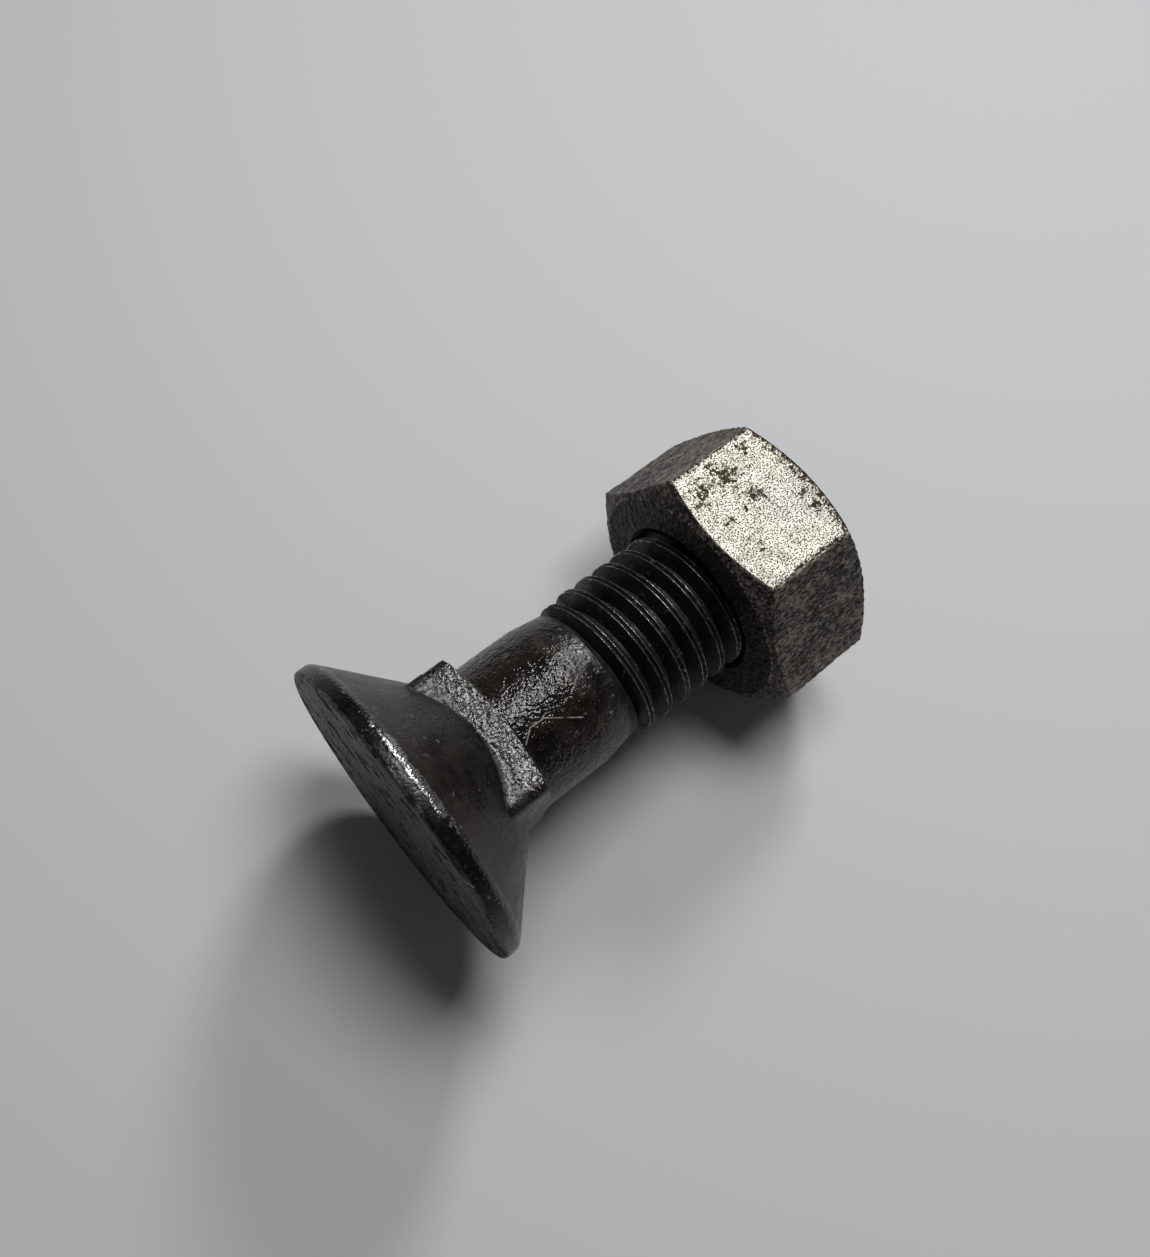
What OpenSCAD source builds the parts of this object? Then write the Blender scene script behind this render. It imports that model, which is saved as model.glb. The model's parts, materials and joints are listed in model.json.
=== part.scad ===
// Plow bolt: a forged countersunk bolt with a short square neck, and its hex nut.
//
// Both are drawn standing on the flat face of the head, with the bolt's axis on +Z and heights
// counted from that face. lie_down() then lays the pair on the ground as it comes to rest, on the
// rim of the head and one flat of the nut, with the nut end towards +X.

/* [Head] */
// Diameter of the head at its rim
head_d = 24.5; // [21:0.1:30]
// Width of the straight land round the rim
head_land = 1.25; // [0.9:0.05:2]
// Angle across the countersunk cone
cone_angle = 93; // [80:1:100]
// Radius of the worn edge between the land and the cone
rim_round = 0.6; // [0.2:0.05:0.8]
// Radius of the edge round the flat face
face_round = 0.4; // [0.1:0.05:0.6]

/* [Neck] */
// Width of the square neck across its flats
neck_w = 11.9; // [11.8:0.1:14]
// Height at which the neck's corners end
neck_end = 8.8; // [8:0.1:11]
// Radius along the neck's corners
neck_corner = 0.75; // [0.2:0.05:1]
// Turn of the neck on the bolt's axis against the flats of the nut
neck_turn = 1.5; // [-45:0.5:45]
// Bevel where the corners end
neck_bevel = 0.35; // [0.1:0.05:0.8]

/* [Shank] */
// Diameter of the plain shank
shank_d = 12.05; // [11.65:0.1:12.15]
// Height at which the plain shank ends
shank_end = 14.4; // [12:0.1:16]
// Length of the taper that leads to the thread
taper_len = 2.6; // [1:0.1:4]
// Diameter at the small end of the taper
taper_d = 11.2; // [10.9:0.1:11.6]

/* [Thread] */
// Diameter over the thread's crests
thread_d = 11.95; // [11.6:0.05:12.05]
// Pitch of the right-hand thread
pitch = 1.75; // [1.25:0.25:2]
// Height of the bolt's end
bolt_len = 38.5; // [36:0.5:50]
// Bevel on the bolt's end
end_bevel = 1.1; // [0.5:0.1:1.5]

/* [Nut] */
// Width of the nut across its flats
nut_af = 19; // [17:0.5:22]
// Height of the nut
nut_h = 9.7; // [6:0.1:12]
// Height of the nut's bearing face above the head's flat face
nut_seat = 27.4; // [24:0.05:29]
// Diameter of the chamfer circle on both faces of the nut
nut_face_d = 18.1; // [16.2:0.1:18.8]
// Angle of the nut's chamfers
nut_chamfer = 30; // [20:1:35]
// Radial clearance round the thread's crests
nut_clearance = 0.075; // [0.05:0.005:0.1]
// Width by which the bore's mouths are countersunk
nut_mouth = 0.45; // [0.2:0.05:0.8]

/* [Hidden] */
$fn = 96;

head_r = head_d / 2;
shank_r = shank_d / 2;
taper_r = taper_d / 2;
thread_r = thread_d / 2;
cone_lean = cone_angle / 2;
taper_end = shank_end + taper_len;

// An arc's points in the plane of a profile, from one direction to another.
function arc(centre, radius, from, to, steps = 6) = [
    for (i = [0:steps])
        let (a = from + (to - from) * i / steps)
        centre + radius * [cos(a), sin(a)]
];

// How far the worn rim edge reaches back along the land from the sharp corner.
rim_back = rim_round * tan(cone_lean / 2);
rim_centre = [head_r - rim_round, head_land - rim_back];

// ---- How the pair lies -------------------------------------------------------------------------
// The worn rim edge and the outer chamfer of one nut flat touch the ground together.
nut_reach = nut_seat + nut_h - (nut_af - nut_face_d) / 2 * tan(nut_chamfer);
rest_run = nut_reach - rim_centre.y;
rest_drop = rim_centre.x - nut_af / 2;
lean = atan2(rest_drop, rest_run) + asin(rim_round / norm([rest_run, rest_drop]));
axis_lift = rim_centre.x * cos(lean) + rim_centre.y * sin(lean) + rim_round;

// The ends of the lying bolt along X, so that it can be centred.
low_x = face_round * cos(lean) - (head_r - face_round) * sin(lean) - face_round;
high_x = bolt_len * cos(lean) + (thread_r - end_bevel) * sin(lean);

module lie_down() {
    translate([-(low_x + high_x) / 2, 0, axis_lift])
        rotate([0, 90 + lean, 0])
            children();
}

// ---- Plow bolt ---------------------------------------------------------------------------------
// The countersunk head. Its cone runs on to a point inside the shank.
module head() {
    rotate_extrude()
        polygon(concat(
            [[0, 0]],
            arc([head_r - face_round, face_round], face_round, -90, 0),
            arc(rim_centre, rim_round, 0, cone_lean),
            [[0, head_land + head_r / tan(cone_lean)]]
        ));
}

// The plain shank and the taper that leads to the thread.
module shank() {
    rotate_extrude()
        polygon([
            [0, neck_end],
            [shank_r, neck_end],
            [shank_r, shank_end],
            [taper_r, taper_end],
            [0, taper_end]
        ]);
}

// The four corners that stop the bolt from turning in its square hole.
module square_neck() {
    inner = neck_w - 2 * neck_corner;
    corner_r = norm([inner, inner]) / 2 + neck_corner;
    intersection() {
        rotate(neck_turn)
            linear_extrude(neck_end) {
                square([neck_w, inner], center = true);
                square([inner, neck_w], center = true);
                for (x = [-1, 1], y = [-1, 1])
                    translate([x, y] * inner / 2)
                        circle(neck_corner);
            }
        rotate_extrude()
            polygon([
                [0, head_land],
                [corner_r + head_land, head_land],
                [corner_r + neck_bevel, neck_end - 2 * neck_bevel],
                [corner_r - neck_bevel, neck_end],
                [0, neck_end]
            ]);
    }
}

// The thread's form over one pitch: distance from the crest's centre, and depth below the crest.
thread_depth = 0.6134 * pitch;
crest_w = pitch / 8;
root_w = pitch / 6;
thread_form = [
    [-pitch / 2, thread_depth],
    [-(pitch - root_w) / 2, thread_depth * 0.96],
    [-crest_w / 2, 0.02],
    [0, 0],
    [crest_w / 2, 0.02],
    [(pitch - root_w) / 2, thread_depth * 0.96]
];
thread_sides = 48;
// The helix starts under the taper, one turn below the first crest that shows.
helix_start = 15.6;
// Turn of the helix over which the crest grows out of the taper.
rise_from = 0.7;
rise_turns = 1;
under_taper = 0.1;
helix_steps = ceil(((bolt_len - helix_start) / pitch + 0.5) * thread_sides) + 1;

// A point on the helix after so many steps, with the form growing out of the taper.
function thread_point(step, form) =
    let (
        turn = step / thread_sides,
        grown = min(1, max(0, (turn - rise_from) / rise_turns)),
        buried_r = taper_r - under_taper,
        r = buried_r + grown * (thread_r - form[1] - buried_r),
        z = helix_start + pitch * turn + form[0]
    )
    [r * cos(360 * turn), r * sin(360 * turn), z];

// The threaded end as one closed solid. The last line of a turn is the first line of the next, so
// the root line runs on for one turn more than the other lines.
module thread_helix() {
    lines = len(thread_form);
    roots = [for (s = [0:helix_steps + thread_sides]) thread_point(s, thread_form[0])];
    rest = [
        for (s = [0:helix_steps], j = [1:lines - 1])
            thread_point(s, thread_form[j])
    ];
    ends = [[0, 0, helix_start], [0, 0, helix_start + pitch * helix_steps / thread_sides]];
    low = len(roots) + len(rest);
    high = low + 1;
    function at(s, j) =
        j == 0 ? s :
        j == lines ? s + thread_sides :
        len(roots) + s * (lines - 1) + j - 1;
    walls = [
        for (s = [0:helix_steps - 1], j = [0:lines - 1])
            each [
                [at(s, j), at(s, j + 1), at(s + 1, j + 1)],
                [at(s, j), at(s + 1, j + 1), at(s + 1, j)]
            ]
    ];
    root_caps = [
        for (s = [0:thread_sides - 1])
            each [
                [low, s, s + 1],
                [high, helix_steps + s + 1, helix_steps + s]
            ]
    ];
    form_caps = [
        for (j = [0:lines - 1])
            each [
                [low, at(0, j + 1), at(0, j)],
                [high, at(helix_steps, j), at(helix_steps, j + 1)]
            ]
    ];
    polyhedron(concat(roots, rest, ends), concat(walls, root_caps, form_caps));
}

// The threaded end cut square and bevelled.
module threaded_end() {
    intersection() {
        thread_helix();
        rotate_extrude()
            polygon([
                [0, helix_start - pitch],
                [thread_r + end_bevel, helix_start - pitch],
                [thread_r + end_bevel, bolt_len - 2 * end_bevel],
                [thread_r - end_bevel, bolt_len],
                [0, bolt_len]
            ]);
    }
}

module plow_bolt() {
    color("dimgray")
        lie_down() {
            head();
            square_neck();
            shank();
            threaded_end();
        }
}

// ---- Hex nut -----------------------------------------------------------------------------------
module hex_nut() {
    bore_r = thread_r + nut_clearance;
    face_r = nut_face_d / 2;
    across_corners = nut_af / cos(30);
    // The chamfers' cones run on past the corners
    cone_r = across_corners / 2 + 1;
    cone_drop = (cone_r - face_r) * tan(nut_chamfer);
    color("silver")
        lie_down()
            translate([0, 0, nut_seat])
                difference() {
                    intersection() {
                        rotate(30)
                            cylinder(h = nut_h, d = across_corners, $fn = 6);
                        rotate_extrude()
                            polygon([
                                [0, 0],
                                [face_r, 0],
                                [cone_r, cone_drop],
                                [cone_r, nut_h - cone_drop],
                                [face_r, nut_h],
                                [0, nut_h]
                            ]);
                    }
                    translate([0, 0, -nut_h / 2])
                        cylinder(h = 2 * nut_h, r = bore_r);
                    for (side = [0, 1])
                        translate([0, 0, side * nut_h])
                            mirror([0, 0, side])
                                translate([0, 0, -nut_mouth])
                                    cylinder(
                                        h = 2 * nut_mouth,
                                        r1 = bore_r + 2 * nut_mouth,
                                        r2 = bore_r
                                    );
                }
}

plow_bolt();
hex_nut();
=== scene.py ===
import json
import math

import bpy
from mathutils import Matrix, Vector


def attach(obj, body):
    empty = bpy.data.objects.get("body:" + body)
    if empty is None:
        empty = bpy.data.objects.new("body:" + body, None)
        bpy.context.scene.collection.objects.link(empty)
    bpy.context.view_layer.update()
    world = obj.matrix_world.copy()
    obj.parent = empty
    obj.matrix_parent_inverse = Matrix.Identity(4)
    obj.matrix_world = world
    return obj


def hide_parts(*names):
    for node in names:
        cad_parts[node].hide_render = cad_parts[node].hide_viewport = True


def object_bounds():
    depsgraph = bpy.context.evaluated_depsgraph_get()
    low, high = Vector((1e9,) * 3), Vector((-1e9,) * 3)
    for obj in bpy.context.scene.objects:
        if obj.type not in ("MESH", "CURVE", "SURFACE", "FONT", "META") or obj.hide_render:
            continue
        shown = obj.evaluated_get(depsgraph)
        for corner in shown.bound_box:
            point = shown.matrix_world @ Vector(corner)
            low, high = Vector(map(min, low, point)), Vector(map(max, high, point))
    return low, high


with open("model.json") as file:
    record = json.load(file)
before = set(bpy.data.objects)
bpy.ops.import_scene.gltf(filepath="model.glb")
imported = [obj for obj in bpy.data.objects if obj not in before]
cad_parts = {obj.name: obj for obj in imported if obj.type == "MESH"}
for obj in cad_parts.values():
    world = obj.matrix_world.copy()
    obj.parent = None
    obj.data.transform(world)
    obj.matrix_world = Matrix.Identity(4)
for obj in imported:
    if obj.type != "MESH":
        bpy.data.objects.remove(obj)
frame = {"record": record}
cad_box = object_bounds()
scene = bpy.context.scene
scene.view_settings.view_transform = "Standard"

# ---- Bolt: how it lies -------------------------------------------------------------------------
# The bolt and its nut lie on the rim of the head and one flat of the nut. Both are shaped
# standing on the flat face of the head, with the bolt's axis on Z, and are then laid down.
mm = 0.001
mounts = {mount["name"]: mount for mount in frame["record"]["mounts"]}
along = Vector(mounts["shank"]["axis"])
sideways = Vector((0, 1, 0))
lying = Matrix((sideways.cross(along), sideways, along)).transposed().to_4x4()
lying.translation = Vector(mounts["head_face"]["pos_m"])

# ---- Bolt: forged head, neck and shank ---------------------------------------------------------
# One piece of carbon steel. The head and the square neck are hot forged, so their edges are
# rounded and run into each other; the shank is drawn round and tapers down to the thread.
head_radius = 12.25 * mm
head_land = 1.25 * mm
cone_lean = math.radians(93 / 2)
rim_round = 0.8 * mm
face_round = 0.4 * mm
neck_width = 11.9 * mm
neck_end = 8.8 * mm
neck_corner = 0.75 * mm
neck_bevel = 0.5 * mm
neck_foot = 0.3 * mm
neck_fillet = 0.5 * mm
neck_turn = math.radians(1.5)
shank_radius = 6.025 * mm
shank_end = 14.4 * mm
taper_radius = 5.6 * mm
taper_end = 17.0 * mm
root_radius = 4.9 * mm
crest_radius = 5.975 * mm
bolt_length = 38.5 * mm
end_bevel = 1.1 * mm


def arc(centre, radius, start, end, steps):
    """The points of an arc in the plane of an outline, after its first."""
    angles = [start + (end - start) * i / steps for i in range(1, steps + 1)]
    return [
        (centre[0] + radius * math.cos(a), centre[1] + radius * math.sin(a)) for a in angles
    ]


def stretch(outline, end, step):
    """Carries an outline on in a straight line to its next corner."""
    start = outline[-1]
    count = math.ceil(math.dist(start, end) / step)
    for i in range(1, count + 1):
        outline.append(tuple(a + (b - a) * i / count for a, b in zip(start, end)))


def neck_reach(height):
    """How far the neck's corners may stand out at a height; inside the axis where it has none."""
    corner = math.sqrt(2) * (neck_width / 2 - neck_corner) + neck_corner
    # The neck's end edge is eased over, as a forging's is.
    stations = [
        (head_land, corner + neck_bevel),
        (neck_end - 2.2 * neck_bevel, corner + neck_bevel),
        (neck_end - 1.0 * neck_bevel, corner + 0.3 * neck_bevel),
        (neck_end - 0.3 * neck_bevel, corner - 0.8 * neck_bevel),
        (neck_end, corner - 2 * neck_bevel),
        (neck_end + neck_foot, shank_radius - neck_foot),
    ]
    if not stations[0][0] <= height <= stations[-1][0]:
        return -1 * mm
    for (low, start), (high, end) in zip(stations, stations[1:]):
        if height <= high:
            return start + (end - start) * (height - low) / (high - low)


# Each stretch has rows as close together as its form or its wear needs them.
rim_centre = (head_radius - rim_round, head_land - rim_round * math.tan(cone_lean / 2))
cone_end = head_land + (head_radius - shank_radius) / math.tan(cone_lean)
bolt_outline = [(0.0, 0.0)]
stretch(bolt_outline, (head_radius - face_round, 0), 0.3 * mm)
bolt_outline += arc((head_radius - face_round, face_round), face_round, -math.pi / 2, 0, 6)
bolt_outline += arc(rim_centre, rim_round, 0, cone_lean, 9)
stretch(bolt_outline, (shank_radius, cone_end), 0.13 * mm)
stretch(bolt_outline, (shank_radius, neck_end), 0.08 * mm)
stretch(bolt_outline, (shank_radius, neck_end + neck_foot), 0.05 * mm)
stretch(bolt_outline, (shank_radius, shank_end), 0.11 * mm)
stretch(bolt_outline, (taper_radius, taper_end), 0.12 * mm)
stretch(bolt_outline, (root_radius, taper_end + 0.05 * mm), 0.2 * mm)
stretch(bolt_outline, (root_radius, bolt_length - (crest_radius - root_radius)), 0.4 * mm)
stretch(bolt_outline, (crest_radius - end_bevel, bolt_length), 0.2 * mm)
stretch(bolt_outline, (0, bolt_length), 0.5 * mm)


def outline_piece(name, points, **values):
    """An object whose points, in their order, a tree reads as an outline with its values."""
    mesh = bpy.data.meshes.new(name)
    mesh.from_pydata(points, [(i, i + 1) for i in range(len(points) - 1)], [])
    for label, numbers in values.items():
        mesh.attributes.new(label, "FLOAT", "POINT").data.foreach_set("value", numbers)
    piece = bpy.data.objects.new(name, mesh)
    scene.collection.objects.link(piece)
    return piece


def feed(tree, socket, value):
    """Gives a socket a value, or links it to the node or the socket that feeds it."""
    if isinstance(value, bpy.types.Node):
        value = next(s for s in value.outputs if s.enabled)
    if isinstance(value, bpy.types.NodeSocket):
        tree.links.new(value, socket)
    else:
        socket.default_value = value


def add(tree, kind, inputs=None, **settings):
    """Adds a node with its settings and feeds its inputs, each by name, or by place in Math."""
    node = tree.nodes.new(kind)
    for name, value in settings.items():
        setattr(node, name, value)
    for key, value in (inputs or {}).items():
        socket = node.inputs[key] if isinstance(key, int) else next(
            s for s in node.inputs if s.enabled and s.name == key
        )
        feed(tree, socket, value)
    return node


def new_tree(name, sizes):
    """A geometry tree with a named input for each size, and its input and output nodes."""
    tree = bpy.data.node_groups.new(name, "GeometryNodeTree")
    kinds = {
        int: "NodeSocketInt",
        float: "NodeSocketFloat",
        bpy.types.Object: "NodeSocketObject",
        bpy.types.Material: "NodeSocketMaterial",
    }
    for side in ("INPUT", "OUTPUT"):
        tree.interface.new_socket("Geometry", in_out=side, socket_type="NodeSocketGeometry")
    for label, value in sizes.items():
        tree.interface.new_socket(label, in_out="INPUT", socket_type=kinds[type(value)])
    return tree, tree.nodes.new("NodeGroupInput"), tree.nodes.new("NodeGroupOutput")


def shape(piece, tree, sizes):
    """Puts a tree on a piece, with its sizes."""
    modifier = piece.modifiers.new(tree.name, "NODES")
    modifier.node_group = tree
    for socket in tree.interface.items_tree:
        if socket.in_out == "INPUT" and socket.name in sizes:
            modifier[socket.identifier] = sizes[socket.name]


def turned_grid(tree, outline, columns, turns):
    """A grid with a row for each point of an outline and columns that go round the axis.

    Also gives each grid point's row, its turns and angle round the axis, and its outline point.
    """
    rows = add(tree, "GeometryNodeAttributeDomainSize", {"Geometry": outline})
    last_row = add(tree, "ShaderNodeMath", {0: rows, 1: 1.0}, operation="SUBTRACT")
    edges = add(tree, "ShaderNodeMath", {0: turns, 1: columns, 2: 1.0}, operation="MULTIPLY_ADD")
    grid = add(tree, "GeometryNodeMeshGrid", {
        "Size X": turns, "Size Y": last_row, "Vertices X": edges, "Vertices Y": rows,
    })
    place = add(tree, "GeometryNodeInputPosition")
    cell = add(tree, "ShaderNodeSeparateXYZ", {0: place})
    row_step = add(tree, "ShaderNodeMath", {
        0: last_row, 1: 0.5, 2: cell.outputs["Y"],
    }, operation="MULTIPLY_ADD")
    row = add(tree, "FunctionNodeFloatToInt", {0: row_step}, rounding_mode="ROUND")
    turn = add(tree, "ShaderNodeMath", {
        0: turns, 1: 0.5, 2: cell.outputs["X"],
    }, operation="MULTIPLY_ADD")
    angle = add(tree, "ShaderNodeMath", {0: turn, 1: math.tau}, operation="MULTIPLY")
    point = add(tree, "GeometryNodeSampleIndex", {
        "Geometry": outline, "Value": place, "Index": row,
    }, data_type="FLOAT_VECTOR")
    return grid, row, turn, angle, add(tree, "ShaderNodeSeparateXYZ", {0: point})


def row_value(tree, outline, row, label):
    """The value that an outline holds under a label, at each grid point's row."""
    value = add(tree, "GeometryNodeInputNamedAttribute", {"Name": label}, data_type="FLOAT")
    return add(tree, "GeometryNodeSampleIndex", {
        "Geometry": outline, "Value": value, "Index": row,
    }, data_type="FLOAT")


def turned_shape(tree, grid, radius, angle, height, **marks):
    """Stores marks on a grid, bends it round the axis and joins the points marked to join."""
    for label, value in marks.items():
        grid = add(tree, "GeometryNodeStoreNamedAttribute", {
            "Geometry": grid, "Name": label, "Value": value,
        }, data_type="FLOAT", domain="POINT")
    cosine = add(tree, "ShaderNodeMath", {0: angle}, operation="COSINE")
    sine = add(tree, "ShaderNodeMath", {0: angle}, operation="SINE")
    x = add(tree, "ShaderNodeMath", {0: radius, 1: cosine}, operation="MULTIPLY")
    y = add(tree, "ShaderNodeMath", {0: radius, 1: sine}, operation="MULTIPLY")
    point = add(tree, "ShaderNodeCombineXYZ", {"X": x, "Y": y, "Z": height})
    placed = add(tree, "GeometryNodeSetPosition", {"Geometry": grid, "Position": point})
    joins = add(tree, "GeometryNodeInputNamedAttribute", {"Name": "joins"}, data_type="FLOAT")
    return add(tree, "GeometryNodeMergeByDistance", {
        "Geometry": placed, "Selection": joins, "Distance": 0.001 * mm,
    })


# The outline is turned round the axis as a grid of rows and columns, and the square neck stands
# out of it wherever it reaches further than the round. The cone and the land keep smooth.
smooth_share = 0.7
bolt = outline_piece(
    "bolt_outline",
    [(radius, 0, height) for radius, height in bolt_outline],
    reach=[neck_reach(height) for radius, height in bolt_outline],
    calm=[
        smooth_share if 0 < height < cone_end - 0.5 * mm else 0.0
        for radius, height in bolt_outline
    ],
)
blank_sizes = {
    "Columns": 240,
    "Neck Width": neck_width,
    "Neck Corner": neck_corner,
    "Neck Turn": neck_turn,
    "Fillet": neck_fillet,
}
tree, given, made = new_tree("Forged Blank", blank_sizes)
outline = given.outputs["Geometry"]
grid, row, turn, angle, profile = turned_grid(tree, outline, given.outputs["Columns"], 1.0)
reach = row_value(tree, outline, row, "reach")
calm = row_value(tree, outline, row, "calm")
neck_angle = add(
    tree, "ShaderNodeMath", {0: angle, 1: given.outputs["Neck Turn"]}, operation="SUBTRACT"
)
neck_x = add(tree, "ShaderNodeMath", {0: neck_angle}, operation="COSINE")
neck_y = add(tree, "ShaderNodeMath", {0: neck_angle}, operation="SINE")
size_x = add(tree, "ShaderNodeMath", {0: neck_x}, operation="ABSOLUTE")
size_y = add(tree, "ShaderNodeMath", {0: neck_y}, operation="ABSOLUTE")
longer = add(tree, "ShaderNodeMath", {0: size_x, 1: size_y}, operation="MAXIMUM")
half_width = add(
    tree, "ShaderNodeMath", {0: given.outputs["Neck Width"], 1: 0.5}, operation="MULTIPLY"
)
flat_line = add(tree, "ShaderNodeMath", {0: half_width, 1: longer}, operation="DIVIDE")
inner_corner = add(
    tree, "ShaderNodeMath", {0: half_width, 1: given.outputs["Neck Corner"]}, operation="SUBTRACT"
)
corner_line = add(tree, "ShaderNodeMath", {
    0: inner_corner, 1: math.sqrt(2), 2: given.outputs["Neck Corner"],
}, operation="MULTIPLY_ADD")
square_line = add(tree, "ShaderNodeMath", {
    0: flat_line, 1: corner_line, 2: given.outputs["Neck Corner"],
}, operation="SMOOTH_MIN")
neck_line = add(tree, "ShaderNodeMath", {0: square_line, 1: reach}, operation="MINIMUM")
radius = add(tree, "ShaderNodeMath", {
    0: profile.outputs["X"], 1: neck_line, 2: given.outputs["Fillet"],
}, operation="SMOOTH_MAX")
proud = add(tree, "ShaderNodeMath", {0: neck_line, 1: profile.outputs["X"]}, operation="SUBTRACT")
flatness = add(tree, "ShaderNodeMapRange", {
    "Value": proud, "From Min": -0.25 * mm, "From Max": 0.05 * mm,
}, interpolation_type="SMOOTHSTEP")
closed = turned_shape(
    tree, grid, radius, angle, profile.outputs["Z"], joins=1.0, flat=flatness, calm=calm
)
feed(tree, made.inputs["Geometry"], closed)
shape(bolt, tree, blank_sizes)

# ---- Bolt: rolled thread -----------------------------------------------------------------------
# The coarse right-hand thread is rolled into the end of the bolt, so its ridge is one helix. It
# grows out of the taper over one turn, and its crest keeps a crease between two worn edges.
thread_pitch = 1.75 * mm
thread_start = 15.6 * mm
thread_turns = 13.6
ridge_foot = -0.06
# Across the ridge in mm, its share of the full height, and how far it is worn bare.
thread_form = [
    (-0.76, ridge_foot, 0), (-0.70, 0.03, 0), (-0.60, 0.2, 0), (-0.31, 0.8, 0),
    (-0.24, 0.94, 0.3), (-0.20, 1.0, 1), (-0.15, 0.96, 0.3),
    (-0.03, 0.76, 0), (0, 0.74, 0), (0.03, 0.76, 0),
    (0.15, 0.96, 0.3), (0.20, 1.0, 1), (0.24, 0.94, 0.3),
    (0.31, 0.8, 0), (0.60, 0.2, 0), (0.70, 0.03, 0), (0.76, ridge_foot, 0),
    (-0.76, ridge_foot, 0),
]
thread_sizes = {
    "Form": outline_piece(
        "thread_form",
        [(across * mm, 0, level) for across, level, bare in thread_form],
        bare=[bare for across, level, bare in thread_form],
    ),
    "Columns": 130,
    "Turns": thread_turns,
    "Pitch": thread_pitch,
    "Start": thread_start,
    "Base Radius": root_radius,
    "Crest Radius": crest_radius,
    "Buried Radius": taper_radius - 0.1 * mm,
    "Rise From": 0.7,
    "Rise Turns": 1.0,
    "Low Face": 0.0,
    "High Face": bolt_length,
    "Cut": 0.03 * mm,
}
tree, given, made = new_tree("Thread Ridge", thread_sizes)
form_piece = add(tree, "GeometryNodeObjectInfo", {"Object": given.outputs["Form"]})
form = form_piece.outputs["Geometry"]
grid, row, turn, angle, section = turned_grid(
    tree, form, given.outputs["Columns"], given.outputs["Turns"]
)
# Both ends of the ridge close to a point.
turns_left = add(
    tree, "ShaderNodeMath", {0: given.outputs["Turns"], 1: turn}, operation="SUBTRACT"
)
nearer_end = add(tree, "ShaderNodeMath", {0: turn, 1: turns_left}, operation="MINIMUM")
tip = add(tree, "ShaderNodeMath", {
    0: nearer_end, 1: given.outputs["Columns"],
}, operation="MULTIPLY", use_clamp=True)
across = add(tree, "ShaderNodeMath", {0: section.outputs["X"], 1: tip}, operation="MULTIPLY")
centre = add(tree, "ShaderNodeMath", {
    0: turn, 1: given.outputs["Pitch"], 2: given.outputs["Start"],
}, operation="MULTIPLY_ADD")
free_height = add(tree, "ShaderNodeMath", {0: centre, 1: across})
# The end faces cut the ridge off, and the bevel there lowers it.
lowest = add(tree, "ShaderNodeMath", {0: given.outputs["Low Face"], 1: 0.02 * mm})
highest = add(
    tree, "ShaderNodeMath", {0: given.outputs["High Face"], 1: 0.02 * mm}, operation="SUBTRACT"
)
not_low = add(tree, "ShaderNodeMath", {0: free_height, 1: lowest}, operation="MAXIMUM")
height = add(tree, "ShaderNodeMath", {0: not_low, 1: highest}, operation="MINIMUM")
from_low = add(
    tree, "ShaderNodeMath", {0: height, 1: given.outputs["Low Face"]}, operation="SUBTRACT"
)
from_high = add(
    tree, "ShaderNodeMath", {0: given.outputs["High Face"], 1: height}, operation="SUBTRACT"
)
from_face = add(tree, "ShaderNodeMath", {0: from_low, 1: from_high}, operation="MINIMUM")
ridge_height = add(tree, "ShaderNodeMath", {
    0: given.outputs["Crest Radius"], 1: given.outputs["Base Radius"],
}, operation="SUBTRACT")
ridge_size = add(tree, "ShaderNodeMath", {0: ridge_height}, operation="ABSOLUTE")
past_cut = add(
    tree, "ShaderNodeMath", {0: from_face, 1: given.outputs["Cut"]}, operation="SUBTRACT"
)
bevel_level = add(tree, "ShaderNodeMath", {0: past_cut, 1: ridge_size}, operation="DIVIDE")
kept_level = add(tree, "ShaderNodeMath", {0: bevel_level, 1: ridge_foot}, operation="MAXIMUM")
level = add(tree, "ShaderNodeMath", {0: section.outputs["Z"], 1: kept_level}, operation="MINIMUM")
full_radius = add(tree, "ShaderNodeMath", {
    0: level, 1: ridge_height, 2: given.outputs["Base Radius"],
}, operation="MULTIPLY_ADD")
since_rise = add(
    tree, "ShaderNodeMath", {0: turn, 1: given.outputs["Rise From"]}, operation="SUBTRACT"
)
grown = add(tree, "ShaderNodeMath", {
    0: since_rise, 1: given.outputs["Rise Turns"],
}, operation="DIVIDE", use_clamp=True)
grown_tip = add(tree, "ShaderNodeMath", {0: grown, 1: tip}, operation="MULTIPLY")
above_buried = add(tree, "ShaderNodeMath", {
    0: full_radius, 1: given.outputs["Buried Radius"],
}, operation="SUBTRACT")
radius = add(tree, "ShaderNodeMath", {
    0: grown_tip, 1: above_buried, 2: given.outputs["Buried Radius"],
}, operation="MULTIPLY_ADD")
form_bare = row_value(tree, form, row, "bare")
bare = add(tree, "ShaderNodeMath", {0: form_bare, 1: grown}, operation="MULTIPLY")
calm = add(tree, "ShaderNodeMapRange", {
    "Value": from_face, "From Min": 0.8 * mm, "From Max": 0.3 * mm, "To Min": 0.75,
})
# Only the first and last rows and the two tips meet themselves.
form_rows = add(tree, "GeometryNodeAttributeDomainSize", {"Geometry": form})
last_row = add(tree, "ShaderNodeMath", {0: form_rows, 1: 1.0}, operation="SUBTRACT")
rows_left = add(tree, "ShaderNodeMath", {0: last_row, 1: row}, operation="SUBTRACT")
inner_row = add(tree, "ShaderNodeMath", {0: row, 1: rows_left}, operation="MULTIPLY")
inner_point = add(tree, "ShaderNodeMath", {0: inner_row, 1: tip}, operation="MULTIPLY")
meets = add(tree, "FunctionNodeCompare", {
    "A": inner_point, "B": 0.5,
}, data_type="FLOAT", operation="LESS_THAN")
closed = turned_shape(
    tree, grid, radius, angle, height, joins=meets, bare=bare, calm=calm
)
inward = add(tree, "FunctionNodeCompare", {
    "A": ridge_height, "B": 0.0,
}, data_type="FLOAT", operation="LESS_THAN")
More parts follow.
